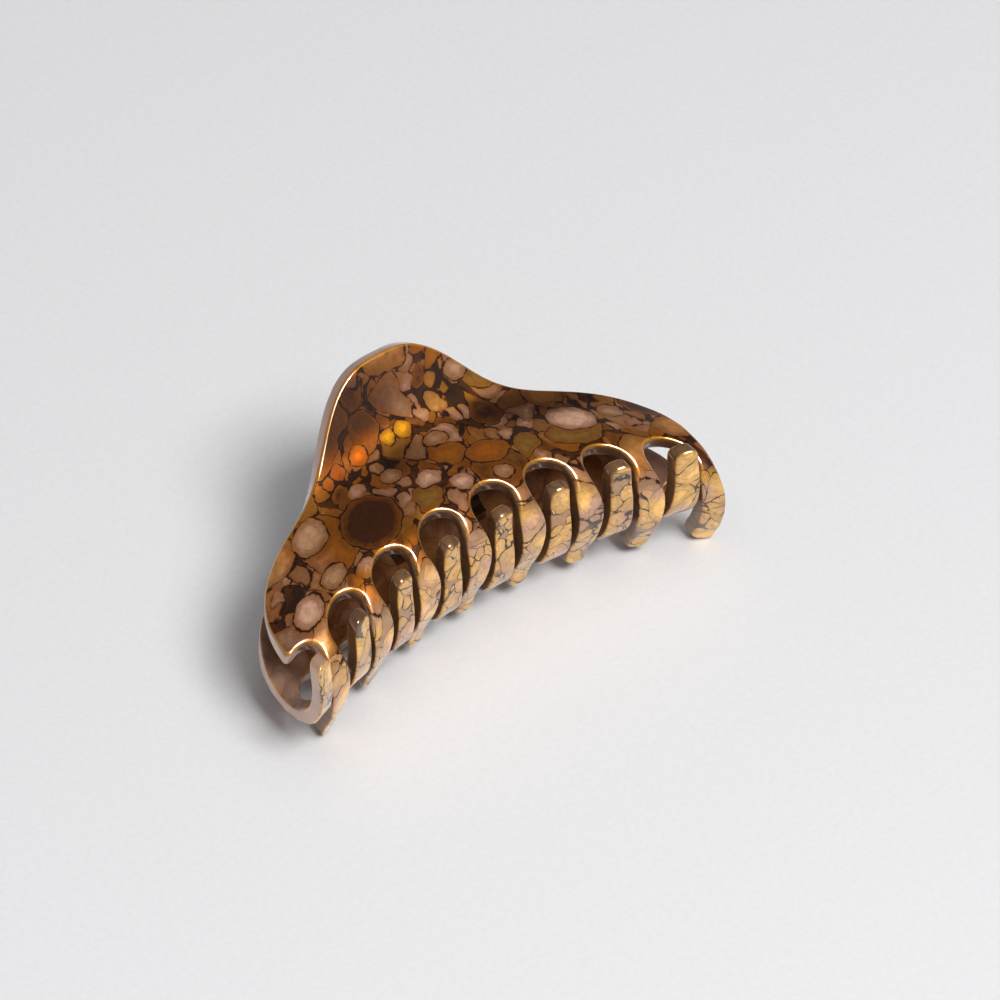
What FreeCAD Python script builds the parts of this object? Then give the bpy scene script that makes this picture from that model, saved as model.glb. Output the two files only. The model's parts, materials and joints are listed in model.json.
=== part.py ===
import FreeCAD, Part
import math
import os

# Claw clip for hair, lying closed on its side.  Two identical jaws, each bent from
# one flat sheet of cellulose acetate, turn on a steel pin against a torsion spring.
# Jaw frame: X along the hinge, Y towards the handle, Z outward from the mid-plane.
# A place on the sheet is (x, s): s is the distance along the bent sheet, from above
# the waist (negative) through the body (positive) down to the tooth tips.

# ---- driving dimensions (mm, degrees) ----
SHEET = 3.1                 # thickness of the acetate
PITCH = 12.0                # tooth spacing
TEETH = 8
END_TOOTH_X = 3.75 * PITCH  # the last tooth is also the rounded end of the body
TIP_S, TIP_ARCH = 49.5, -0.0020       # tooth tips: s = TIP_S + TIP_ARCH x^2
ROOT_S, ROOT_ARCH = 19.1, -0.0002     # slot roots: s = ROOT_S + ROOT_ARCH x^2
ROOT_R = 4.25               # round slot root
TIP_R = 1.5                 # rounded corners of a tooth tip
TIP_FLAT = 0.45             # half the flat between them
FLANKS = [(1.2, 1.8), (5.0, 2.4), (10.0, 2.45), (16.0, 2.15)]   # below the root centre, half tooth
WAIST_Z = 12.55             # outer face above the mid-plane at s = 0
ARCH = 0.0046               # the body's ends lie ARCH x^2 lower than its middle
DOME = 0.0027               # and DOME x^2 nearer to the mid-plane
BENDS = [(-15, -54), (-3, -46), (4, -4), (10, 13), (18, 2), (34, -86), (42, -109),
         (50, -81), (57, -58)]        # tilt of the sheet at s, linear in between
HANDLE = [(0, -13.6), (6, -13.1), (11, -10.4), (15.2, -6.2), (18.8, -2.3), (23, 0.6)]
SHOULDER = [(30, 2.7), (36.5, 4.3), (41.4, 6.8), (44.4, 10.3), (45.9, 14.6)]
BODY_SIDE = (46.4, 20.0)
STUB_R = 1.6                # rounded corner beside the first slot
LIE_TILT = 10.8             # mid-plane to table when the clip lies on its side

HINGE_Y = -6.0              # hinge axis, on the mid-plane
PIN_R = 1.25
RUNNING_GAP = 0.05          # radial, pin in the upper jaw's lugs
LUG_W = 3.0
LUG_GAP = 0.3               # between neighbouring lugs
LUG_IN = 5.4                # from the middle to the first lug
LUG_OUT = LUG_IN + 2 * LUG_W + LUG_GAP                # to the far side of the second
LUG_X = {"right": LUG_IN, "left": -LUG_OUT}           # low X faces of one jaw's lugs
LUG_EYE_R = 3.6
LUG_FOOT = 7.0              # half height of the foot bonded to the jaw
CAP_R, CAP_W, CAP_GRIP, CAP_ROUND = 2.4, 1.7, 1.0, 0.6
CAP_GAP = 0.3               # to the outermost lug
HINGE_END = LUG_OUT + CAP_GAP + CAP_W
WIRE_R = 0.6
COIL_R = 3.1                # to the middle of the wire
COIL_TURNS = 5              # whole turns, and the part turn between the two legs
COIL_PITCH = 1.4
LEG_S = -5.0                # where a spring leg bears on the handle
LEG_GAP = 0.1

STEP_X, STEP_S = 4.0, 2.0   # control net of the sheet's faces
NET_X, NET_S = 52.0, (-15.0, 57.0)
DEGREE = 3
LEG_LAP = 0.4               # a leg starts inside the last turn,
LEG_R = WIRE_R - 0.06       # and is drawn a little thinner to fit in it
TILT_STEP = 0.05            # step along the sheet when its tilt is summed
THROUGH = 1.0               # a cutting tool reaches this far beyond the piece
SEW = 0.02                  # tolerance for joining a jaw's faces
MESH_GAP = 0.02             # tolerance of the mesh that measures the clip

V = FreeCAD.Vector
V2 = FreeCAD.Base.Vector2d
X_AXIS, Y_AXIS, ORIGIN = V(1, 0, 0), V(0, 1, 0), V(0, 0, 0)


# ---- the bent sheet ----
def tilt(s):
    for (s0, a0), (s1, a1) in zip(BENDS, BENDS[1:]):
        if s <= s1:
            break
    return math.radians(a0 + (a1 - a0) * (s - s0) / (s1 - s0))


def section(s):
    """Outer face of the middle section at s: height above the mid-plane, and Y."""
    count = max(1, round(abs(s) / TILT_STEP))
    step = s / count
    z, y = WAIST_Z, 0.0
    for i in range(count):
        a = tilt((i + 0.5) * step)
        z += math.sin(a) * step
        y -= math.cos(a) * step
    return z, y


def sheet_point(x, s, depth=0.0):
    z, y = section(s)
    a = tilt(s)
    return V(x, y - ARCH * x * x - depth * math.sin(a),
             z - DOME * x * x - depth * math.cos(a))


def sheet_face(depth):
    """Surface whose u and v are x and s."""
    nx = round(2 * NET_X / STEP_X)
    ns = round((NET_S[1] - NET_S[0]) / STEP_S)
    xs = [-NET_X + i * STEP_X for i in range(nx + 1)]
    ss = [NET_S[0] + i * STEP_S for i in range(ns + 1)]
    # a net of even poles with clamped ends: the inner knots sit on the poles' averages
    end_x, end_s = STEP_X / DEGREE, STEP_S / DEGREE
    poles_x = [xs[0], xs[0] + end_x] + xs[1:-1] + [xs[-1] - end_x, xs[-1]]
    poles_s = [ss[0], ss[0] + end_s] + ss[1:-1] + [ss[-1] - end_s, ss[-1]]
    poles = [[sheet_point(x, s, depth) for s in poles_s] for x in poles_x]
    surface = Part.BSplineSurface()
    clamp = [DEGREE + 1]
    surface.buildFromPolesMultsKnots(
        poles, clamp + [1] * (nx - 1) + clamp, clamp + [1] * (ns - 1) + clamp,
        xs, ss, False, False, DEGREE, DEGREE)
    return surface


# ---- the flat outline, in (x, s) ----
def root(x):
    return ROOT_S + ROOT_ARCH * x * x


def tip(x):
    return TIP_S + TIP_ARCH * x * x


def curve(points):
    c = Part.Geom2d.BSplineCurve2d()
    c.interpolate(Points=[V2(*p) for p in points])
    return c


def line(start, end):
    return Part.Geom2d.Line2dSegment(V2(*start), V2(*end))


def arc(centre, radius, a0, a1):
    """From a0 to a1 degrees, a1 > a0, counted from +x towards +s."""
    circle = Part.Geom2d.Circle2d(V2(*centre), radius)
    return Part.Geom2d.ArcOfCircle2d(circle, math.radians(a0), math.radians(a1))


def flank(slot_x, side):
    """Half tooth outline on one side of a slot, from the slot's root to the tip."""
    tooth_x = slot_x + side * PITCH / 2
    s0 = root(slot_x) + ROOT_R
    points = [(slot_x + side * ROOT_R, s0)]
    points += [(tooth_x - side * half, s0 + down) for down, half in FLANKS]
    points.append((tooth_x - side * (TIP_FLAT + TIP_R), tip(tooth_x) - TIP_R))
    return points


def outline():
    """Curves of the jaw's edge, in order around the sheet."""
    first_slot_x = END_TOOTH_X - PITCH / 2 - (TEETH - 1) * PITCH
    # the first slot runs out through the body's side, and leaves a rounded stub
    stub_x = STUB_R - BODY_SIDE[0]
    slot_s = root(first_slot_x) + ROOT_R
    stub_s = slot_s - math.sqrt((ROOT_R + STUB_R) ** 2 - (stub_x - first_slot_x) ** 2)
    meet = math.degrees(math.atan2(stub_s - slot_s, stub_x - first_slot_x))

    half = HANDLE[1:] + SHOULDER
    crown = [(-BODY_SIDE[0], stub_s)] + [(-x, s) for x, s in reversed(half)]
    crown += [HANDLE[0]] + half + [BODY_SIDE]
    last_side = (END_TOOTH_X + TIP_FLAT + TIP_R, tip(END_TOOTH_X) - TIP_R)
    curves = [curve(crown), line(BODY_SIDE, last_side)]
    for i in range(TEETH):
        tooth_x = END_TOOTH_X - i * PITCH
        slot_x = tooth_x - PITCH / 2
        centre = (slot_x, root(slot_x) + ROOT_R)
        right, left = tooth_x + TIP_FLAT, tooth_x - TIP_FLAT
        end_s = tip(tooth_x)
        curves.append(arc((right, end_s - TIP_R), TIP_R, 0, 90))
        curves.append(line((right, end_s), (left, end_s)))
        curves.append(arc((left, end_s - TIP_R), TIP_R, 90, 180))
        curves.append(curve(flank(slot_x, 1)[::-1]))
        if i < TEETH - 1:
            curves.append(arc(centre, ROOT_R, 180, 360))
            curves.append(curve(flank(slot_x, -1)))
    curves.append(arc(centre, ROOT_R, 360 + meet, 360))
    curves.append(arc((stub_x, stub_s), STUB_R, 180 + meet, 180))
    return curves


# ---- pieces, in the jaw frame ----
def trimmed(surface, edges):
    """The part of a surface inside its closed edge."""
    wire = Part.Wire(Part.__sortEdges__(edges))
    pieces = Part.Face(surface).generalFuse([wire])[0].Faces
    inside = Part.Vertex(surface.value(0, HANDLE[0][1] / 2))
    return min(pieces, key=lambda face: face.distToShape(inside)[0])


def jaw():
    outer, inner = sheet_face(0.0), sheet_face(SHEET)
    edges_out = [c.toShape(outer) for c in outline()]
    edges_in = [c.toShape(inner) for c in outline()]
    faces = [Part.makeRuledSurface(a, b) for a, b in zip(edges_out, edges_in)]
    faces += [trimmed(outer, edges_out), trimmed(inner, edges_in)]
    shell = Part.makeShell(faces)
    shell.sewShape(SEW)
    return Part.makeSolid(shell.Shells[0])


def disc(radius, x0, x1):
    """Round bar along the hinge axis."""
    return Part.makeCylinder(radius, x1 - x0, V(x0, HINGE_Y, 0), X_AXIS)


def lug(x0, jaw_solid, bore):
    """Hinge ear: a round eye on a foot whose base follows the inside of the jaw."""
    low = Part.makeBox(LUG_W, 2 * LUG_FOOT, WAIST_Z, V(x0, HINGE_Y - LUG_FOOT, 0))
    eye = disc(LUG_EYE_R, x0, x0 + LUG_W)
    side = LUG_FOOT - LUG_EYE_R
    for sign in (-1, 1):
        # hollow each side of the foot, from the eye out to the jaw
        edge_y = HINGE_Y + sign * LUG_FOOT
        scoop = Part.makeCylinder(side, LUG_W, V(x0, edge_y, side), X_AXIS)
        block = Part.makeBox(LUG_W, side, side, V(x0, min(edge_y, edge_y - sign * side), 0))
        low = low.cut(scoop).cut(block)
    body = low.fuse(eye).removeSplitter().cut(disc(bore, x0 - THROUGH, x0 + LUG_W + THROUGH))
    parts = body.cut(jaw_solid).Solids
    return min(parts, key=lambda p: p.distToShape(Part.Vertex(V(x0, HINGE_Y, 0)))[0])


def pin():
    half = HINGE_END - (CAP_W - CAP_GRIP)
    return disc(PIN_R, -half, half)


def pin_cap(side):
    """Round head pressed on one end of the pin."""
    inner = HINGE_END - CAP_W
    cap = disc(CAP_R, inner, HINGE_END)
    rim = [e for e in cap.Edges if len(e.Vertexes) == 1 and e.CenterOfMass.x > inner + CAP_GRIP]
    cap = cap.makeFillet(CAP_ROUND, rim)
    cap = cap.cut(disc(PIN_R, inner - THROUGH, inner + CAP_GRIP))
    if side < 0:
        cap.rotate(ORIGIN, Y_AXIS, 180)
    return cap


def torsion_spring():
    """Coil round the pin, with a leg out to the inside of each handle."""
    foot = sheet_point(0, LEG_S, SHEET + WIRE_R + LEG_GAP)
    reach = math.hypot(foot.y - HINGE_Y, foot.z)
    leave = math.degrees(math.atan2(foot.z, foot.y - HINGE_Y) - math.acos(COIL_R / reach))
    turns = COIL_TURNS + (360 + 2 * leave) / 360
    width = turns * COIL_PITCH
    helix = Part.makeHelix(COIL_PITCH, width, COIL_R)
    start = V(COIL_R, 0, 0)
    along = V(0, 2 * math.pi * COIL_R, COIL_PITCH)
    section_wire = Part.Wire(Part.makeCircle(WIRE_R, start, along))
    coil = Part.Wire(helix).makePipeShell([section_wire], True, True)
    coil.translate(V(0, 0, -width / 2))
    coil.rotate(ORIGIN, V(1, 1, 1), 120)      # the coil's axis Z becomes X
    coil.rotate(ORIGIN, X_AXIS, -leave)
    coil.translate(V(0, HINGE_Y, 0))
    spring = coil
    a = math.radians(leave)
    for side in (-1, 1):
        root_point = V(side * width / 2, HINGE_Y + COIL_R * math.cos(a), side * COIL_R * math.sin(a))
        end = V(side * width / 2, foot.y, side * foot.z)
        direction = (end - root_point).normalize()
        first = root_point - direction * LEG_LAP
        spring = spring.fuse(Part.makeCylinder(LEG_R, (end - first).Length, first, direction))
    return spring


# ---- the clip, closed and lying on its side ----
def pieces():
    nodes = {"upper_jaw": jaw(), "lower_jaw": jaw()}
    for jaw_name, bore in (("upper", PIN_R + RUNNING_GAP), ("lower", PIN_R)):
        for side, x0 in LUG_X.items():
            nodes[f"{jaw_name}_lug_{side}"] = lug(x0, nodes[f"{jaw_name}_jaw"], bore)
    for name, shape in nodes.items():
        if name.startswith("lower"):
            shape.rotate(ORIGIN, Y_AXIS, 180)
    nodes["hinge_pin"] = pin()
    nodes["pin_cap_right"] = pin_cap(1)
    nodes["pin_cap_left"] = pin_cap(-1)
    nodes["torsion_spring"] = torsion_spring()
    for shape in nodes.values():
        shape.rotate(ORIGIN, X_AXIS, LIE_TILT)
    return nodes


def main():
    os.makedirs("parts", exist_ok=True)
    nodes = pieces()
    box = FreeCAD.BoundBox()
    for shape in nodes.values():
        for point in shape.tessellate(MESH_GAP)[0]:
            box.add(point)
    base = V(box.Center.x, box.Center.y, box.ZMin)
    for name, shape in nodes.items():
        shape.translate(-base)
        shape.exportStep(f"parts/{name}.step")
    tilt_angle = math.radians(LIE_TILT)
    axis = V(0, HINGE_Y * math.cos(tilt_angle), HINGE_Y * math.sin(tilt_angle)) - base
    print("size (mm)", box.XLength, box.YLength, box.ZLength)
    print("hinge axis through (mm)", axis)


main()
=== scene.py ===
import json
import math

import bpy
import numpy as np
from mathutils import Matrix, Vector
from mathutils.geometry import delaunay_2d_cdt


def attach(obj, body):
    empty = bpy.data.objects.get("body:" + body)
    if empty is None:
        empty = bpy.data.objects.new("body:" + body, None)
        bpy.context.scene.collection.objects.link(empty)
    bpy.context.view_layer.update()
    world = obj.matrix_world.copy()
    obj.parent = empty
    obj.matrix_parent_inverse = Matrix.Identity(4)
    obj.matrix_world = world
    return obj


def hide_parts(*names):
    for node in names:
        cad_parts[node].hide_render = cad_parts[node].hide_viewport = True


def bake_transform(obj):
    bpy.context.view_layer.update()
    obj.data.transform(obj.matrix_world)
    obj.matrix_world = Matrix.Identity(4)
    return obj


# Claw clip of polished tortoiseshell acetate, closed and lying on its side.
# The jaws are meshed here from the sheet they are bent from, with their rounded,
# polished edges, in the CAD frame, and the spring as one wire.  The pin, caps and
# lugs keep their CAD meshes.

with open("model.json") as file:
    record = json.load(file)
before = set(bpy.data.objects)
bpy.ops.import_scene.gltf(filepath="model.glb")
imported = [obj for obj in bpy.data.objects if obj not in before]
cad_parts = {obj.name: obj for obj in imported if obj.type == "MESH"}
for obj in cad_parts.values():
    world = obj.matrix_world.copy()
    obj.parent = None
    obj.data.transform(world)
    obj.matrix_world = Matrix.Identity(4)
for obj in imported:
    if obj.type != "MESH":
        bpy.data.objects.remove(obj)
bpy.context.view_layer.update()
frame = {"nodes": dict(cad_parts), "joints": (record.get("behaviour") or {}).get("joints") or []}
MM = 0.001

# ---- the bent sheet: driving dimensions as in the CAD model, mm and degrees ----
SHEET = 3.1                 # thickness of the acetate
PITCH = 12.0                # tooth spacing
TEETH = 8
END_TOOTH_X = 3.75 * PITCH
TIP_S, TIP_ARCH = 49.5, -0.0020
ROOT_S, ROOT_ARCH = 19.1, -0.0002
ROOT_R = 4.25
TIP_R = 1.5
TIP_FLAT = 0.45
FLANKS = [(1.2, 1.8), (5.0, 2.4), (10.0, 2.45), (16.0, 2.15)]
WAIST_Z = 12.55
ARCH = 0.0046
DOME = 0.0027
BENDS = [(-15, -54), (-3, -46), (4, -4), (10, 13), (18, 2), (34, -86), (42, -109),
         (50, -81), (57, -58)]
HANDLE = [(0, -13.6), (6, -13.1), (11, -10.4), (15.2, -6.2), (18.8, -2.3), (23, 0.6)]
SHOULDER = [(30, 2.7), (36.5, 4.3), (41.4, 6.8), (44.4, 10.3), (45.9, 14.6)]
BODY_SIDE = (46.4, 20.0)
STUB_R = 1.6
LIE_TILT = 10.8
HINGE_Y = -6.0
WIRE_R = 0.6
COIL_R = 3.1
COIL_TURNS = 5
COIL_PITCH = 1.4
LEG_S = -5
LEG_GAP = 0.1

# polished round edge of the sheet: radius against s, fuller at the slot roots and tooth tips
EDGE_S, EDGE_RADII = (15, 18, 25, 31, 45, 48), (0.6, 1.0, 1.0, 0.5, 0.5, 1.1)
EDGE_STEPS = 6
OUTLINE_STEP = 0.4          # mesh spacing along the outline
FACE_STEP = 0.8             # and over the faces
EDGE_CLEAR = 0.6 * FACE_STEP             # face points stay this far from the outline
BEND_STEP = 0.05            # step along the sheet when its tilt is summed
COIL_SIDES = 36             # mesh steps in one turn of the spring
WIRE_SIDES = 14

HINGE = Vector(frame["joints"][0]["pos_m"])


# ---- the sheet ----
STATIONS = np.arange(BENDS[0][0], BENDS[-1][0] + BEND_STEP / 2, BEND_STEP)


def section_table():
    """Height and Y of the outer face of the middle section, at every station."""
    mids = STATIONS[:-1] + BEND_STEP / 2
    tilt = np.radians(np.interp(mids, *np.transpose(BENDS)))
    z = np.concatenate([[0], np.cumsum(np.sin(tilt))]) * BEND_STEP
    y = np.concatenate([[0], np.cumsum(-np.cos(tilt))]) * BEND_STEP
    return (z - np.interp(0, STATIONS, z) + WAIST_Z, y - np.interp(0, STATIONS, y))


SECTION_Z, SECTION_Y = section_table()


def sheet_points(x, s, depth):
    """Points of the bent sheet in the jaw frame, from flat (x, s) and depth."""
    tilt = np.radians(np.interp(s, *np.transpose(BENDS)))
    y = np.interp(s, STATIONS, SECTION_Y) - ARCH * x * x - depth * np.sin(tilt)
    z = np.interp(s, STATIONS, SECTION_Z) - DOME * x * x - depth * np.cos(tilt)
    return np.stack([x, y, z], -1)


def to_row_frame(lower):
    """Matrix from the jaw frame in mm to the row frame in metres."""
    turn = Matrix.Rotation(math.pi, 4, "Y") if lower else Matrix.Identity(4)
    lie = Matrix.Rotation(math.radians(LIE_TILT), 4, "X")
    hinge = lie @ Vector((0, HINGE_Y * MM, 0))
    return Matrix.Translation(HINGE - hinge) @ lie @ turn @ Matrix.Scale(MM, 4)


# ---- the flat outline, in (x, s) ----
def root(x):
    return ROOT_S + ROOT_ARCH * x * x


def tip(x):
    return TIP_S + TIP_ARCH * x * x


def spline(points):
    """Natural cubic spline through points, at even steps of OUTLINE_STEP."""
    p = np.array(points, float)
    h = np.linalg.norm(np.diff(p, axis=0), axis=1)
    n = len(p)
    a = np.eye(n)
    b = np.zeros((n, 2))
    for i in range(1, n - 1):
        a[i, i - 1:i + 2] = h[i - 1], 2 * (h[i - 1] + h[i]), h[i]
        b[i] = 6 * ((p[i + 1] - p[i]) / h[i] - (p[i] - p[i - 1]) / h[i - 1])
    bend = np.linalg.solve(a, b)
    out = []
    for i in range(n - 1):
        count = max(1, round(h[i] / OUTLINE_STEP))
        for t in np.arange(count) / count * h[i]:
            u = h[i] - t
            out.append((bend[i] * u ** 3 + bend[i + 1] * t ** 3) / (6 * h[i])
                       + (p[i] / h[i] - bend[i] * h[i] / 6) * u
                       + (p[i + 1] / h[i] - bend[i + 1] * h[i] / 6) * t)
    return np.array(out)


def arc(centre, radius, a0, a1):
    """Points from a0 to a1 degrees, counted from +x towards +s, without the last."""
    count = max(2, round(abs(math.radians(a1 - a0)) * radius / OUTLINE_STEP))
    a = np.radians(a0 + (a1 - a0) * np.arange(count) / count)
    return np.stack([centre[0] + radius * np.cos(a), centre[1] + radius * np.sin(a)], -1)


def flank(slot_x, side):
    """Half tooth outline on one side of a slot, from the slot's root to the tip."""
    tooth_x = slot_x + side * PITCH / 2
    s0 = root(slot_x) + ROOT_R
    points = [(slot_x + side * ROOT_R, s0)]
    points += [(tooth_x - side * half, s0 + down) for down, half in FLANKS]
    points.append((tooth_x - side * (TIP_FLAT + TIP_R), tip(tooth_x) - TIP_R))
    return points


def outline():
    """Closed outline of the flat jaw, once round."""
    first_slot_x = END_TOOTH_X - PITCH / 2 - (TEETH - 1) * PITCH
    stub_x = STUB_R - BODY_SIDE[0]
    slot_s = root(first_slot_x) + ROOT_R
    stub_s = slot_s - math.sqrt((ROOT_R + STUB_R) ** 2 - (stub_x - first_slot_x) ** 2)
    meet = math.degrees(math.atan2(stub_s - slot_s, stub_x - first_slot_x))
    half = HANDLE[1:] + SHOULDER
    crown = [(-BODY_SIDE[0], stub_s)] + [(-x, s) for x, s in reversed(half)]
    crown += [HANDLE[0]] + half + [BODY_SIDE]
    last_side = (END_TOOTH_X + TIP_FLAT + TIP_R, tip(END_TOOTH_X) - TIP_R)
    runs = [spline(crown), spline([BODY_SIDE, last_side])]
    for i in range(TEETH):
        tooth_x = END_TOOTH_X - i * PITCH
        slot_x = tooth_x - PITCH / 2
        centre = (slot_x, root(slot_x) + ROOT_R)
        corner_s = tip(tooth_x) - TIP_R
        right, left, end_s = tooth_x + TIP_FLAT, tooth_x - TIP_FLAT, corner_s + TIP_R
        runs.append(arc((right, corner_s), TIP_R, 0, 90))
        runs.append(spline([(right, end_s), (left, end_s)]))
        runs.append(arc((left, corner_s), TIP_R, 90, 180))
        runs.append(spline(flank(slot_x, 1)[::-1]))
        if i < TEETH - 1:
            runs.append(arc(centre, ROOT_R, 360, 180))
            runs.append(spline(flank(slot_x, -1)))
    runs.append(arc(centre, ROOT_R, 360, 360 + meet))
    runs.append(arc((stub_x, stub_s), STUB_R, 180 + meet, 180))
    return np.concatenate(runs)


def inward(ring):
    """Unit normals of a closed ring, towards the material."""
    along = np.roll(ring, -1, 0) - np.roll(ring, 1, 0)
    along /= np.linalg.norm(along, axis=1)[:, None]
    x, s = ring.T
    area = 0.5 * np.sum(x * np.roll(s, -1) - s * np.roll(x, -1))
    return np.stack([-along[:, 1], along[:, 0]], -1) * np.sign(area)


def inside(points, ring):
    """Which points lie inside the ring."""
    hits = np.zeros(len(points), bool)
    for (x0, y0), (x1, y1) in zip(ring, np.roll(ring, -1, 0)):
        spans = (y0 > points[:, 1]) != (y1 > points[:, 1])
        if spans.any():
            at = x0 + (points[:, 1] - y0) / (y1 - y0 + 1e-12) * (x1 - x0)
            hits ^= spans & (points[:, 0] < at)
    return hits


def face_fill(ring):
    """Triangles over a flat ring, with even points inside: (points, triangles)."""
    low, high = ring.min(0), ring.max(0)
    gx, gs = np.meshgrid(*(np.arange(a, b, FACE_STEP) for a, b in zip(low, high)))
    gx[::2] += FACE_STEP / 2
    grid = np.stack([gx.ravel(), gs.ravel()], -1)
    grid = grid[inside(grid, ring)]
    near = np.array([np.min(np.sum((ring - g) ** 2, 1)) for g in grid])
    grid = grid[near > EDGE_CLEAR ** 2]
    points = [Vector(p) for p in np.concatenate([ring, grid])]
    loop = list(range(len(ring)))
    verts, _, faces, *_ = delaunay_2d_cdt(points, [], [loop], 1, 1e-7)
    return np.array([tuple(v) for v in verts]), [tuple(f) for f in faces]


def jaw_arrays():
    """Flat (x, s, depth) of the mesh points, and the faces."""
    ring = outline()
    normal = inward(ring)
    radius = np.interp(ring[:, 1], EDGE_S, EDGE_RADII)
    turn = np.linspace(0, math.pi / 2, EDGE_STEPS + 1)
    half = [(radius * (1 - math.sin(t)), radius * (1 - math.cos(t))) for t in turn]
    rings = half + [(inset, SHEET - depth) for inset, depth in reversed(half)]
    n = len(ring)
    flat = [np.column_stack([ring + normal * inset[:, None], depth]) for inset, depth in rings]
    faces = []
    for r in range(len(rings) - 1):
        for i in range(n):
            j = (i + 1) % n
            faces.append((r * n + i, r * n + j, (r + 1) * n + j, (r + 1) * n + i))
    top, triangles = face_fill(ring + normal * radius[:, None])
    # the triangles' points start with the ring's own
    assert len(top) > n and np.allclose(top[:n], flat[0][:, :2], atol=1e-5)
    extra = len(top) - n
    base = len(rings) * n
    for side, level, first in ((0, 0.0, 0), (1, SHEET, (len(rings) - 1) * n)):
        flat.append(np.column_stack([top[n:], np.full(extra, level)]))
        start = base + side * extra
        index = np.concatenate([first + np.arange(n), start + np.arange(extra)])
        for t in triangles:
            f = tuple(int(index[v]) for v in t)
            faces.append(f if side else f[::-1])
    return np.concatenate(flat), faces


def jaw_piece(name, lower, cut_from):
    """A jaw as one mesh.  cut_from is where on the big patterned sheet it was cut, in mm."""
    flat, faces = jaw_arrays()
    mesh = bpy.data.meshes.new(name)
    mesh.from_pydata(sheet_points(*flat.T).tolist(), [], faces)
    mesh.transform(to_row_frame(lower))
    mesh.shade_smooth()
    for layer, values in (("sheet", flat), ("cut_from", np.zeros_like(flat) + cut_from)):
        attribute = mesh.attributes.new(layer, "FLOAT_VECTOR", "POINT")
        attribute.data.foreach_set("vector", values.astype(np.float32).ravel())
    return add_object(name, mesh)


def tube(name, path, radius):
    """Round wire along a path of points in the row frame."""
    sides = WIRE_SIDES
    along = np.gradient(path, axis=0)
    along /= np.linalg.norm(along, axis=1)[:, None]
    across = np.cross(along, (0, 0.37, 1.0))
    across /= np.linalg.norm(across, axis=1)[:, None]
    other = np.cross(along, across)
    turn = np.radians(np.arange(sides) * 360 / sides)
    ring = across[:, None] * np.cos(turn)[:, None] + other[:, None] * np.sin(turn)[:, None]
    points = (path[:, None] + radius * ring).reshape(-1, 3)
    faces = []
    for i in range(len(path) - 1):
        for j in range(sides):
            k = (j + 1) % sides
            faces.append((i * sides + j, i * sides + k, (i + 1) * sides + k, (i + 1) * sides + j))
    faces.append(tuple(reversed(range(sides))))
    faces.append(tuple(range(len(points) - sides, len(points))))
    mesh = bpy.data.meshes.new(name)
    mesh.from_pydata(points.tolist(), [], faces)
    mesh.shade_smooth()
    return add_object(name, mesh)


def add_object(name, mesh):
    obj = bpy.data.objects.new(name, mesh)
    bpy.context.scene.collection.objects.link(obj)
    return obj


def spring_path():
    """Leg under the lower handle, coil round the pin, leg under the upper handle."""
    foot = sheet_points(np.array(0.0), np.array(LEG_S), np.array(SHEET + WIRE_R + LEG_GAP))
    reach_y, reach_z = foot[1] - HINGE_Y, foot[2]
    leave = math.atan2(reach_z, reach_y) - math.acos(COIL_R / math.hypot(reach_y, reach_z))
    turns = COIL_TURNS + 1 + leave / math.pi
    width = turns * COIL_PITCH
    angle = np.linspace(-leave, -leave + turns * 2 * math.pi, int(turns * COIL_SIDES))
    coil = np.stack([np.linspace(-width / 2, width / 2, len(angle)),
                     HINGE_Y + COIL_R * np.cos(angle), COIL_R * np.sin(angle)], -1)
    first = np.array([(-width / 2, foot[1], -reach_z)])
    last = np.array([(width / 2, foot[1], reach_z)])
    path = np.concatenate([first, coil, last])
    move = np.array(to_row_frame(False))
    return path @ move[:3, :3].T + move[:3, 3], width * MM


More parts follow.
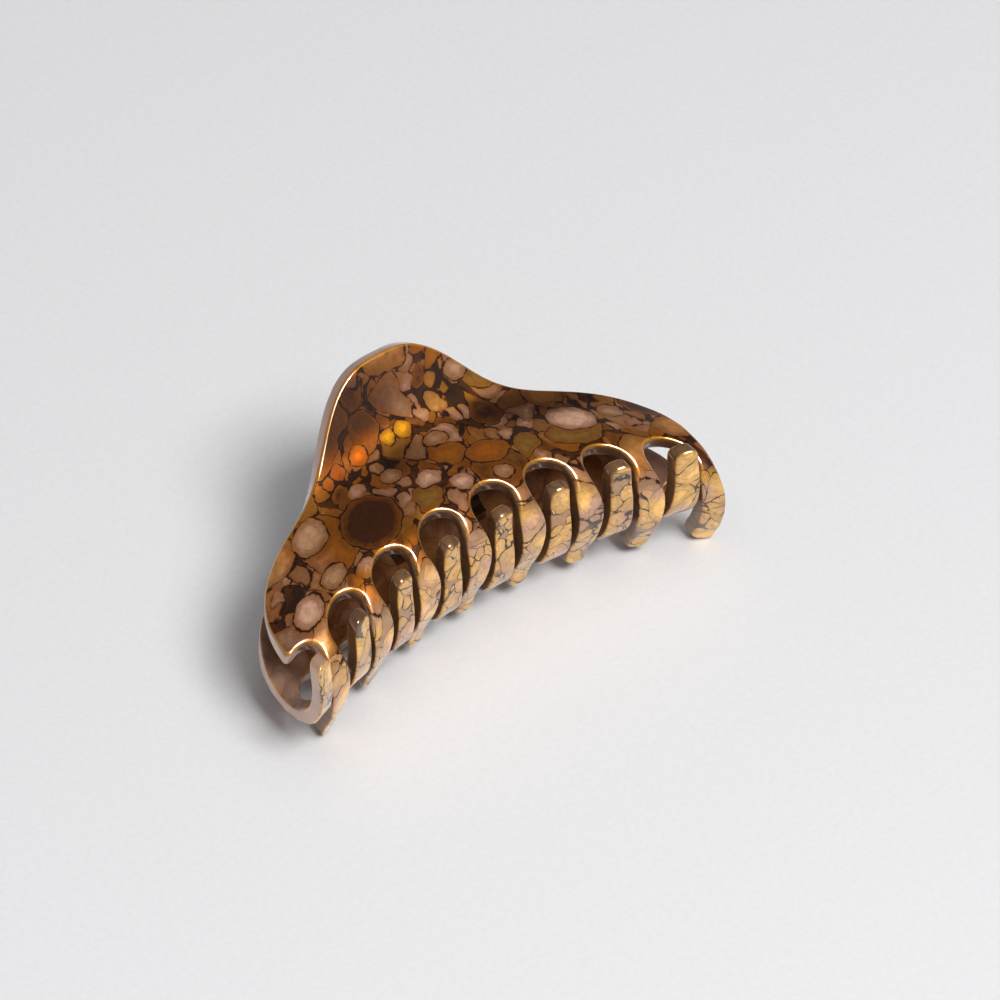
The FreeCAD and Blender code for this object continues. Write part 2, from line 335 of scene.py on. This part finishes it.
# ---- node materials ----
class Nodes:
    """A material's node tree, with short calls that wire sockets or set values."""

    def __init__(self, name):
        self.material = bpy.data.materials.new(name)
        self.material.use_nodes = True
        self.tree = self.material.node_tree
        self.shader = self.tree.nodes["Principled BSDF"]

    def put(self, socket, value):
        if isinstance(value, bpy.types.NodeSocket):
            self.tree.links.new(value, socket)
        elif value is not None:
            socket.default_value = value

    def add(self, kind, inputs=(), **settings):
        node = self.tree.nodes.new("ShaderNode" + kind)
        for key, value in settings.items():
            setattr(node, key, value)
        pairs = inputs.items() if isinstance(inputs, dict) else enumerate(inputs)
        for key, value in pairs:
            self.put(node.inputs[key], value)
        return node

    def math(self, operation, a, b=None, c=None):
        return self.add("Math", (a, b, c), operation=operation).outputs[0]

    def vector(self, operation, a, b=None):
        return self.add("VectorMath", (a, b), operation=operation).outputs[0]

    def scaled(self, vector, factors):
        return self.vector("MULTIPLY", vector, factors)

    def smooth(self, value, low, high, to_low=0.0, to_high=1.0):
        """Smooth step from to_low at low to to_high at high."""
        node = self.add("MapRange", (value, low, high, to_low, to_high))
        node.interpolation_type = "SMOOTHSTEP"
        return node.outputs[0]

    def noise(self, vector, scale, detail=2.0, roughness=0.5):
        return self.add("TexNoise", {"Vector": vector, "Scale": scale, "Detail": detail,
                                     "Roughness": roughness})

    def voronoi(self, vector, feature):
        return self.add("TexVoronoi", {"Vector": vector, "Scale": 1.0, "Randomness": 1.0},
                        feature=feature)

    def length(self, vector):
        return self.add("VectorMath", (vector,), operation="LENGTH").outputs["Value"]

    def choose(self, on, a, b):
        """The value a, or b where on is 1."""
        return self.add("Mix", {0: on, 2: a, 3: b}).outputs[0]

    def mix(self, factor, a, b, blend="MIX"):
        """The colour a, blended towards b."""
        node = self.add("Mix", {0: factor, 6: a, 7: b}, data_type="RGBA", blend_type=blend)
        return node.outputs[2]

    def multiplied(self, a, b):
        """Two colours multiplied."""
        return self.mix(1.0, a, b, "MULTIPLY")

    def dress_shader(self, **values):
        """Set inputs of the surface shader, with _ for spaces; gives back the material."""
        for name, value in values.items():
            self.put(self.shader.inputs[name.replace("_", " ")], value)
        return self.material

    def ramp(self, value, stops, interpolation="LINEAR"):
        node = self.add("ValToRGB", (value,))
        ramp = node.color_ramp
        ramp.interpolation = interpolation
        while len(ramp.elements) < len(stops):
            ramp.elements.new(0.5)
        for element, (place, colour) in zip(ramp.elements, stops):
            element.position = place
            element.color = colour
        return node.outputs[0]


def srgb(r, g, b):
    """Shader colour from 0 to 255 screen values."""
    def linear(v):
        v /= 255
        return v / 12.92 if v <= 0.04045 else ((v + 0.055) / 1.055) ** 2.4
    return linear(r), linear(g), linear(b), 1.0


MAUVE = srgb(204, 160, 134)
TAUPE = srgb(172, 132, 98)
TAN = srgb(172, 116, 60)
OLIVE = srgb(126, 92, 38)
AMBER = srgb(144, 80, 12)
UMBER = srgb(68, 34, 10)
SMOKE = srgb(84, 38, 6)
VEIN = srgb(50, 22, 6)
POOL = srgb(12, 5, 2)
BEIGE = srgb(242, 192, 104)
# painted shade for the cut edges inside the slots
PAINTED_WALL_SHADE = srgb(112, 80, 58)
# painted light: cut edges that reflect the bright room, and the inner face near the ends
PAINTED_PALE_LIGHT = srgb(196, 158, 138)
# painted shade for the inner face, as seen in the dark slot holes
PAINTED_INSIDE_SHADE = srgb(124, 80, 52)
# painted golden glow for the rounding of the cut edges
PAINTED_EDGE_GLOW = srgb(236, 164, 44)
# the next three are painted glow, where light comes through the bend at the crease
PAINTED_YELLOW_GLOW = srgb(216, 150, 10)
PAINTED_ORANGE_GLOW = srgb(208, 100, 4)
PAINTED_RED_GLOW = srgb(146, 66, 6)
# painted amber glow beside the slot roots and on the handle
GLOW = srgb(186, 108, 12)

# cells that stand out in the upper jaw: x, s, radius, stretch along x, colour; the yellow, orange and
# red ones along the crease near s = 1 are painted glow of light through the bend
SPOTS = [(-18, 12.8, 5.8, 1.05, UMBER), (9.2, 12.8, 2.9, 1.5, AMBER), (28, 10.4, 3.6, 1.3, MAUVE),
         (-28.4, 6.4, 3.4, 1.15, TAUPE), (-30.4, 15.6, 2.3, 1.2, TAUPE),
         (-38.2, 16.4, 2.9, 1.25, MAUVE), (13.6, -5.6, 2.3, 1.0, TAUPE),
         (-3.8, 12.4, 2.0, 1.4, MAUVE), (0.6, 16.6, 2.2, 1.0, MAUVE), (3.2, 5.4, 1.7, 1.5, TAUPE),
         (-8.6, 7.6, 1.8, 1.2, TAUPE), (8.4, 18.4, 1.6, 1.3, TAUPE), (36.0, 9.6, 2.0, 1.2, TAUPE),
         (-16.4, 0.9, 1.5, 1.0, PAINTED_RED_GLOW), (-19.0, 1.4, 1.2, 1.0, PAINTED_RED_GLOW), (-4.2, 0.8, 1.6, 1.0, PAINTED_YELLOW_GLOW),
         (-0.8, 0.7, 1.8, 1.0, PAINTED_YELLOW_GLOW), (-11.2, 0.8, 2.0, 1.0, PAINTED_ORANGE_GLOW)]
# soft regions of tint: x, s, reach along x, reach along s, colour, strength; the red and yellow ones
# on the crease and the amber ones beside the slot roots near the left end and on the handle are
# painted glow
REGIONS = [(-9, -7, 15, 8, SMOKE, 0.8), (-13, 0, 9, 3.5, PAINTED_RED_GLOW, 0.75),
           (10, -1.5, 7, 4.5, PAINTED_YELLOW_GLOW, 0.45), (-26.5, 22, 3, 5, GLOW, 0.9),
           (-14.5, 23, 3, 4, GLOW, 0.9), (-38, 14, 11, 9, MAUVE, 0.35),
           (11, -10, 4.5, 3.5, GLOW, 0.6)]
# darker clouds: x, s, reach along x, reach along s, strength
CLOUDS = [(23, 4.5, 16, 5.5, 0.85), (-11, -7, 11, 7, 0.55), (-17, 11, 11, 8, 0.35),
          (-4, 6, 8, 3.5, 0.5)]
CLOUD_TINT = (0.14, 0.10, 0.07, 1)
# the colour that a cell's random number picks, from each place upwards
PALETTE = [(0.0, UMBER), (0.15, AMBER), (0.26, OLIVE), (0.40, TAN), (0.54, TAUPE), (0.74, MAUVE)]
SMALL_CELL = 3.3            # mm across
SMALL_SHARE = 2.0           # above 1, so that none is missing
LARGE_CELLS = [(5.8, 0.45, 3.7), (9.0, 0.32, 8.1)]      # size, share that is there, offset
CELL_R, CELL_SOFT = 0.70, 0.2            # limit on a cell's radius and its softness, over size
ABSENT = -50.0              # far outside every cell


def pebbles(n, place, size, share, shift):
    """One layer of rounded cells: (how far inside a cell in mm, below 0 outside; random colour)."""
    grid = n.vector("ADD", n.scaled(place, (1 / size,) * 3), (shift, shift, shift))
    near = n.voronoi(grid, "F1")
    edge = n.math("MULTIPLY", n.voronoi(grid, "DISTANCE_TO_EDGE").outputs["Distance"], size)
    disc = n.math("MULTIPLY_ADD", near.outputs["Distance"], -size, CELL_R * size)
    inside = n.math("SMOOTH_MIN", edge, disc, CELL_SOFT * size)
    random = n.add("SeparateColor", (near.outputs["Color"],))
    present = n.math("LESS_THAN", random.outputs[0], share)
    inside = n.math("MULTIPLY_ADD", n.math("SUBTRACT", 1.0, present), ABSENT, inside)
    return inside, random.outputs[1]


def over(n, inside, below):
    """Cells over others: (where they are, distance to the nearest outline)."""
    on = n.math("GREATER_THAN", inside, 0.0)
    outside = n.math("MINIMUM", below, n.math("MULTIPLY", inside, -1.0))
    return on, n.choose(on, outside, inside)


def reach_from(n, place, x, s, reach_x, reach_s):
    """Distance from (x, s) over the sheet, in units of the two reaches."""
    near = n.vector("SUBTRACT", place, (x, s, 0))
    return n.length(n.scaled(near, (1 / reach_x, 1 / reach_s, 0)))


def cells(n, place, pool):
    """Small cells with larger ones over them: (distance inside the outline, colour)."""
    distance, random = pebbles(n, place, SMALL_CELL, SMALL_SHARE, 0.0)
    distance = n.math("SUBTRACT", distance, pool)
    for size, share, shift in LARGE_CELLS:
        inside, own = pebbles(n, place, size, share, shift)
        on, distance = over(n, inside, distance)
        random = n.choose(on, random, own)
    return distance, n.ramp(random, PALETTE, "CONSTANT")


def tinted(n, colour, place, cloud):
    """Olive patches, and the soft regions of tint."""
    colour = n.mix(n.smooth(cloud, 0.45, 0.75, 0.0, 0.7), colour, OLIVE)
    for x, s, reach_x, reach_s, tint, strength in REGIONS:
        reach = reach_from(n, place, x, s, reach_x, reach_s)
        colour = n.mix(n.smooth(reach, 0.5, 1.1, strength, 0.0), colour, tint)
    return colour


def golden_teeth(n, colour, flat, along, tooth):
    """The teeth golden beige: partly their own colour, partly a painted sheen that grows towards the
    tips; greyer near the bend.
    """
    patch = n.smooth(n.noise(flat, 0.14, 1.0).outputs["Fac"], 0.4, 0.62)
    # painted sheen: patchy beige and mauve near the bend, all beige towards the tips
    beige = n.mix(n.smooth(along, 32.0, 44.0), n.mix(patch, BEIGE, MAUVE), BEIGE)
    return n.mix(n.math("MULTIPLY", tooth, 0.85), colour, beige)


def veined(n, colour, distance, flat, cloud, thick, tooth):
    """Pale hearts and amber rims in the cells, dark veins and pools between them."""
    heart = n.smooth(distance, 0.4, 2.2, 0.0, 1.0)
    colour = n.mix(heart, colour, n.multiplied(colour, (1.35, 1.30, 1.25, 1)))
    rim = n.smooth(n.math("MULTIPLY_ADD", cloud, 1.4, distance), 0.5, 2.4, 1.0, 0.0)
    colour = n.mix(n.math("MULTIPLY", rim, n.smooth(tooth, 0.0, 1.0, 0.8, 0.2)), colour, AMBER)
    between = n.mix(n.smooth(thick, 0.50, 0.62), n.mix(tooth, UMBER, TAUPE), POOL)
    colour = n.mix(n.smooth(distance, -0.12, 0.0, 0.9, 0.0), colour, between)

    width = n.smooth(n.noise(flat, 0.5, 2.0).outputs["Fac"], 0.35, 0.7, 0.06, 0.30)
    width = n.math("MULTIPLY", width, n.smooth(tooth, 0.0, 1.0, 1.0, 0.6))
    line = n.math("DIVIDE", n.math("ABSOLUTE", distance), width)
    colour = n.mix(n.smooth(line, 0.3, 1.2, 1.0, 0.0), colour, VEIN)
    inset = n.math("SUBTRACT", distance, n.math("MULTIPLY_ADD", cloud, 2.0, 0.1))
    return n.mix(n.smooth(n.math("ABSOLUTE", inset), 0.03, 0.14, 0.4, 0.0), colour, AMBER)


def clouded(n, colour, place, flat):
    """Fine mottle, and the darker clouds."""
    mottle = n.noise(flat, 0.9, 4.0, 0.6).outputs["Fac"]
    colour = n.mix(n.smooth(mottle, 0.35, 0.7, 0.0, 0.35), colour, n.multiplied(colour, TAUPE))
    for x, s, reach_x, reach_s, strength in CLOUDS:
        reach = reach_from(n, place, x, s, reach_x, reach_s)
        dark = n.multiplied(colour, CLOUD_TINT)
        colour = n.mix(n.smooth(reach, 0.3, 1.2, strength, 0.0), colour, dark)
    return colour


def cut_edges(n, colour, across, along, depth):
    """Plain cut edges, with painted shade in the slots and painted pale light at the crown and ends,
    a painted golden glow on their rounding, and a plain inside with painted shade, lighter near the
    ends.
    """
    from_face = n.math("MINIMUM", depth, n.math("SUBTRACT", SHEET, depth))
    aside = n.math("ABSOLUTE", across)
    # painted light and shade on the cut edges: pale where they face the bright room, at the crown and
    # the ends, dark brown inside the slots
    outer = n.math("MAXIMUM", n.smooth(along, 14.0, 18.0, 1.0, 0.0), n.smooth(aside, 43.0, 45.0))
    wall = n.math("MULTIPLY", n.smooth(from_face, 0.15, 0.7), 0.9)
    colour = n.mix(wall, colour, n.mix(outer, PAINTED_WALL_SHADE, PAINTED_PALE_LIGHT))
    # painted glow: a golden band on the rounding beside each face, for light coming through the
    # edges, stronger at the crown than down the teeth
    lip = n.math("MULTIPLY", n.smooth(from_face, 0.02, 0.12),
                 n.smooth(from_face, 0.12, 0.55, 1.0, 0.0))
    golden = n.math("MULTIPLY", lip, n.smooth(along, 16.0, 24.0, 0.5, 0.15))
    colour = n.mix(golden, colour, PAINTED_EDGE_GLOW)
    # painted shade on the inner face, with painted light near the ends
    painted_inner_shade_and_light = n.mix(n.smooth(aside, 34.0, 44.0), PAINTED_INSIDE_SHADE, PAINTED_PALE_LIGHT)
    return n.mix(n.smooth(depth, SHEET - 0.3, SHEET, 0.0, 0.65), colour, painted_inner_shade_and_light)


def acetate():
    """Tortoiseshell in the flat sheet's own x, s and depth, so it follows the bends."""
    n = Nodes("tortoiseshell_acetate")
    sheet = n.add("Attribute", attribute_name="sheet").outputs["Vector"]
    cut_from = n.add("Attribute", attribute_name="cut_from").outputs["Vector"]
    across, along, depth = n.add("SeparateXYZ", (sheet,)).outputs
    flat = n.scaled(n.vector("ADD", sheet, cut_from), (1, 1, 0.5))
    swirl = n.vector("SUBTRACT", n.noise(flat, 0.10, 1.0).outputs["Color"], (0.5, 0.5, 0.5))
    ripple = n.vector("SUBTRACT", n.noise(flat, 0.45, 2.0).outputs["Color"], (0.5, 0.5, 0.5))
    bent = n.vector("ADD", flat, n.scaled(ripple, (1.5, 1.5, 0)))
    place = n.vector("ADD", bent, n.scaled(swirl, (6, 6, 0)))
    thick = n.noise(flat, 0.13, 2.0).outputs["Fac"]
    cloud = n.noise(flat, 0.28, 3.0, 0.6).outputs["Fac"]
    tooth = n.smooth(along, 23.0, 29.0)

    pool = n.smooth(thick, 0.48, 0.70, -0.12, 0.6)
    distance, colour = cells(n, place, n.math("MULTIPLY", pool, n.math("SUBTRACT", 1.0, tooth)))
    colour = tinted(n, colour, bent, cloud)
    for x, s, radius, stretch, tint in SPOTS:
        reach = reach_from(n, bent, x, s, stretch, 1)
        on, distance = over(n, n.math("SUBTRACT", radius, reach), distance)
        colour = n.mix(on, colour, tint)
    colour = golden_teeth(n, colour, flat, along, tooth)
    colour = veined(n, colour, distance, flat, cloud, thick, tooth)
    colour = clouded(n, colour, bent, flat)
    colour = cut_edges(n, colour, across, along, depth)
    return n.dress_shader(Base_Color=colour, Roughness=0.34, Metallic=0.35, IOR=1.49,
                          Specular_IOR_Level=0.08, Coat_Weight=1.0, Coat_Roughness=0.03,
                          Coat_IOR=1.6)


def dark_acetate():
    n = Nodes("dark_acetate")
    place = n.scaled(n.add("TexCoord").outputs["Object"], (1000, 1000, 1000))
    cloud = n.noise(place, 0.5, 3.0).outputs["Fac"]
    return n.dress_shader(Base_Color=n.ramp(cloud, [(0.35, POOL), (0.7, UMBER)]),
                          Roughness=0.16, Coat_Weight=0.5)


def steel(name, colour, scratch_scale):
    """Bright steel with fine scratches along the hinge."""
    n = Nodes(name)
    place = n.scaled(n.add("TexCoord").outputs["Object"], (200, 4000, 4000))
    scratch = n.noise(place, scratch_scale, 3.0).outputs["Fac"]
    bump = n.add("Bump", {"Height": scratch, "Strength": 0.15, "Distance": 0.02 * MM})
    return n.dress_shader(Base_Color=colour, Metallic=1.0, Normal=bump.outputs[0],
                          Roughness=n.smooth(scratch, 0.3, 0.7, 0.18, 0.34))


def dress(piece, material):
    piece.data.materials.clear()
    piece.data.materials.append(material)


# ---- pieces ----
shell = acetate()
for name, body, lower, cut_from in (("upper_jaw_sheet", "upper", False, (0, 0, 0)),
                                    ("lower_jaw_sheet", "lower", True, (140, 90, 20))):
    jaw = jaw_piece(name, lower, cut_from)
    dress(jaw, shell)
    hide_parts(f"{body}_jaw")
    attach(jaw, body)

lug_material = dark_acetate()
pin_material = steel("plated_steel", (0.72, 0.71, 0.69, 1), 1.0)
wire_material = steel("spring_wire", (0.60, 0.59, 0.57, 1), 2.0)
for name, node in frame["nodes"].items():
    if "_lug_" in name:
        dress(node, lug_material)
    elif name in ("hinge_pin", "pin_cap_left", "pin_cap_right"):
        dress(node, pin_material)

path, coil_width = spring_path()
spring = tube("spring_coil_and_legs", path, WIRE_R * MM)
dress(spring, wire_material)
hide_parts("torsion_spring")
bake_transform(spring)


# ---- stage ----
FLOOR_REACH = 3.0           # metres
FLOOR_GREYS = [(0.3, (0.80, 0.80, 0.81, 1)), (0.7, (0.83, 0.83, 0.84, 1))]
KEY_FROM = (0.0, -0.58, 0.815)          # over the teeth
SKY = {"From Min": 0.05, "From Max": 0.6, "To Min": 0.34, "To Max": 0.08}   # horizon, zenith


def floor():
    mesh = bpy.data.meshes.new("floor")
    corners = [(x * FLOOR_REACH, y * FLOOR_REACH, 0) for x, y in ((-1, -1), (1, -1), (1, 1), (-1, 1))]
    mesh.from_pydata(corners, [], [(0, 1, 2, 3)])
    obj = add_object("floor", mesh)
    n = Nodes("pale_floor")
    grain = n.noise(n.add("TexCoord").outputs["Object"], 900, 2.0).outputs["Fac"]
    dress(obj, n.dress_shader(Base_Color=n.ramp(grain, FLOOR_GREYS), Roughness=0.7))


def softbox(name, direction, distance, size, power, glossy=True, diffuse=True):
    """Rectangular area light aimed at the clip's middle."""
    data = bpy.data.lights.new(name, "AREA")
    data.shape = "RECTANGLE"
    data.size, data.size_y = size
    data.energy = power
    obj = bpy.data.objects.new(name, data)
    place = Vector(direction).normalized() * distance
    obj.location = place
    obj.rotation_euler = place.to_track_quat("Z", "Y").to_euler()
    obj.visible_glossy = glossy
    obj.visible_diffuse = diffuse
    bpy.context.scene.collection.objects.link(obj)


def studio():
    """Surroundings brightest at the horizon, a key light, a glint that only reflections see
    and a fill that they don't."""
    scene = bpy.context.scene
    world = bpy.data.worlds.new("studio")
    scene.world = world
    world.use_nodes = True
    tree = world.node_tree
    height = tree.nodes.new("ShaderNodeSeparateXYZ")
    tree.links.new(tree.nodes.new("ShaderNodeTexCoord").outputs["Generated"], height.inputs[0])
    sky = tree.nodes.new("ShaderNodeMapRange")
    tree.links.new(height.outputs["Z"], sky.inputs["Value"])
    for name, value in SKY.items():
        sky.inputs[name].default_value = value
    background = tree.nodes["Background"]
    tree.links.new(sky.outputs[0], background.inputs["Strength"])
    background.inputs["Color"].default_value = (0.96, 0.97, 1.0, 1)
    softbox("key", KEY_FROM, 1.8, (0.74, 0.66), 27)
    softbox("glint", KEY_FROM, 1.75, (0.62, 0.5), 34, diffuse=False)
    softbox("fill", (0.0, -0.1, 1.0), 2.0, (2.4, 2.4), 12, glossy=False)
    scene.view_settings.view_transform = "Standard"


def camera():
    """The viewing angle: low telephoto view from the teeth side, over the clip's left end."""
    azimuth, elevation, roll = math.radians(-38.71), math.radians(42.89), math.radians(0.25)
    distance, lens = 1.265, 247.8
    target = Vector((22.83, -1.46, 0)) * MM
    target.y += HINGE.y - HINGE_Y * MM * math.cos(math.radians(LIE_TILT))
    back = Vector((math.sin(azimuth) * math.cos(elevation), -math.cos(azimuth) * math.cos(elevation),
                   math.sin(elevation)))
    right = (-back).cross(Vector((0, 0, 1))).normalized()
    up = right.cross(-back)
    right, up = (right * math.cos(roll) + up * math.sin(roll),
                 up * math.cos(roll) - right * math.sin(roll))
    data = bpy.data.cameras.new("camera")
    data.lens, data.sensor_width = lens, 36.0
    data.clip_end = 20
    obj = bpy.data.objects.new("camera", data)
    place = target + back * distance
    turn = Matrix((right, up, back)).transposed().to_4x4()
    obj.matrix_world = Matrix.Translation(place) @ turn
    bpy.context.scene.collection.objects.link(obj)
    bpy.context.scene.camera = obj


floor()
studio()
camera()
